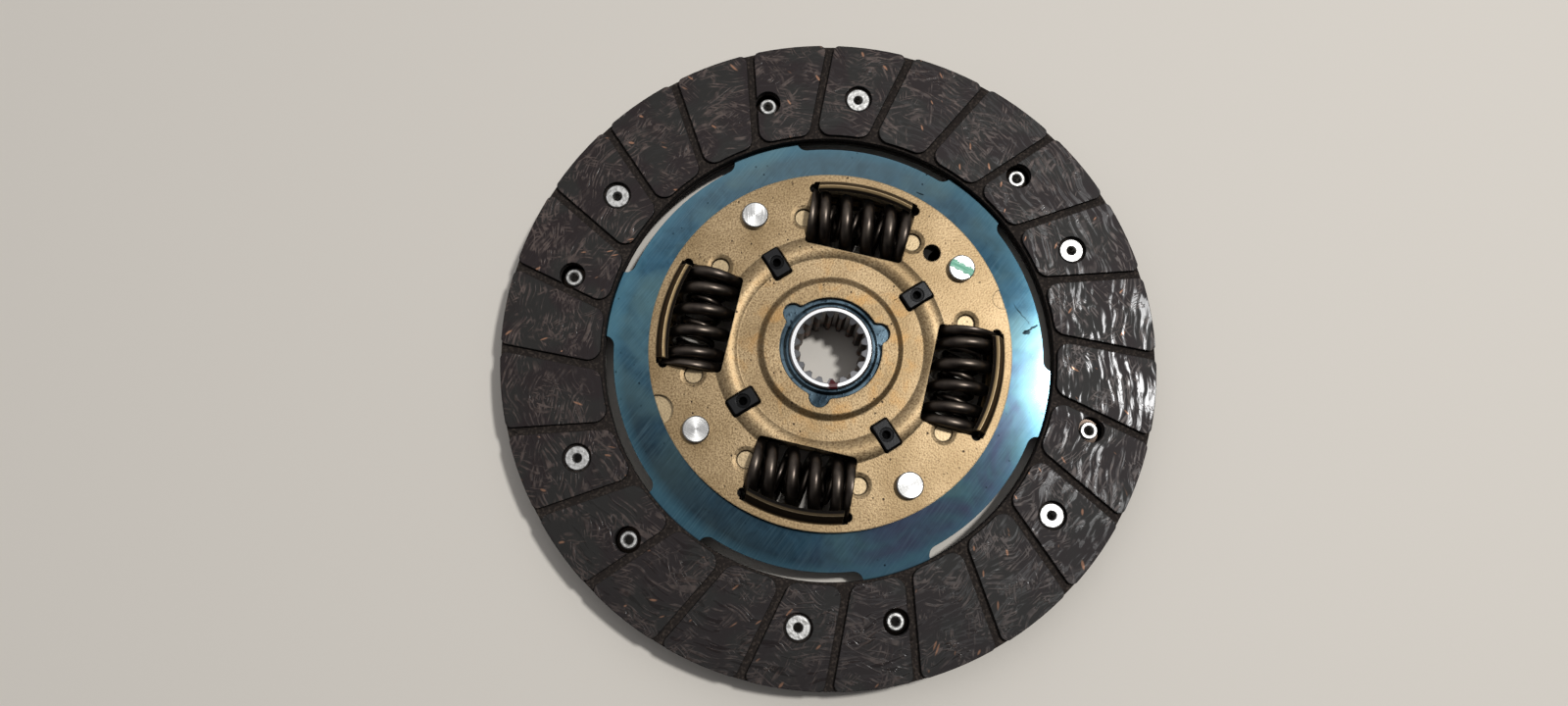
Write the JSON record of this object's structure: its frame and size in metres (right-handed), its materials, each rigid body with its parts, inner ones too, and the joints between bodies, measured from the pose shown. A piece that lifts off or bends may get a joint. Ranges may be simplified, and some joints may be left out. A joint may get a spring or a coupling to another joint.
{
  "type": "clutch disc",
  "caption": "Friction clutch disc with grooved facings on a cushion plate and a splined hub sprung by coil springs in pressed covers.",
  "frame": {"origin": "on the spline's axis at the hub's rear end face, which the disc lies on", "axes": "+Z along the spline's axis towards the front cover; +X towards the picture's right"},
  "size_m": [0.2, 0.2, 0.0222],
  "materials": {
    "facing": "moulded fibre friction material, dark brown-grey",
    "cover": "pressed steel with a gold-bronze passivated coating",
    "cushion": "blued spring steel",
    "bright": "bare turned or broached steel",
    "spring": "spring steel, black and lightly oiled",
    "dark_steel": "blued or heat-darkened steel",
    "moulding": "black glass-filled moulding",
    "lining": "pressed friction lining"
  },
  "bodies": {
    "disc": {"front_facing": "facing", "rear_facing": "facing", "front_cover": "cover", "rear_cover": "cover", "cushion_plate": "cushion", "stop_pin_1": "bright", "stop_pin_2": "bright", "stop_pin_3": "bright", "stop_pin_4": "bright", "front_facing_rivets": "bright", "rear_facing_rivets": "bright", "front_bush": "dark_steel", "disc_spring": "dark_steel", "pressure_washer": "dark_steel", "front_washer": "dark_steel", "tab_ring": "moulding", "rear_bush": "moulding", "rear_lining": "lining"},
    "hub": {"hub": "bright", "hub_flange": "dark_steel"},
    "spring_set": {"outer_spring_1": "spring", "outer_spring_2": "spring", "outer_spring_3": "spring", "outer_spring_4": "spring", "inner_spring_1": "spring", "inner_spring_2": "spring", "inner_spring_3": "spring", "inner_spring_4": "spring"}
  },
  "joints": [
    {"name": "hub_twist", "type": "hinge", "parent": "disc", "child": "hub", "pos_m": [0, 0, 0.0125], "axis": [0, 0, 1], "range_deg": [-7, 7], "stiffness_Nm_per_rad": 1340, "deforming": ["outer_spring_1", "outer_spring_2", "outer_spring_3", "outer_spring_4", "inner_spring_1", "inner_spring_2", "inner_spring_3", "inner_spring_4"]},
    {"name": "springs_follow", "type": "hinge", "parent": "disc", "child": "spring_set", "pos_m": [0, 0, 0.0125], "axis": [0, 0, 1], "range_deg": [-3.5, 3.5]}
  ],
  "couplings": [
    {"joint": "springs_follow", "follows": "hub_twist", "ratio": 0.5}
  ]
}
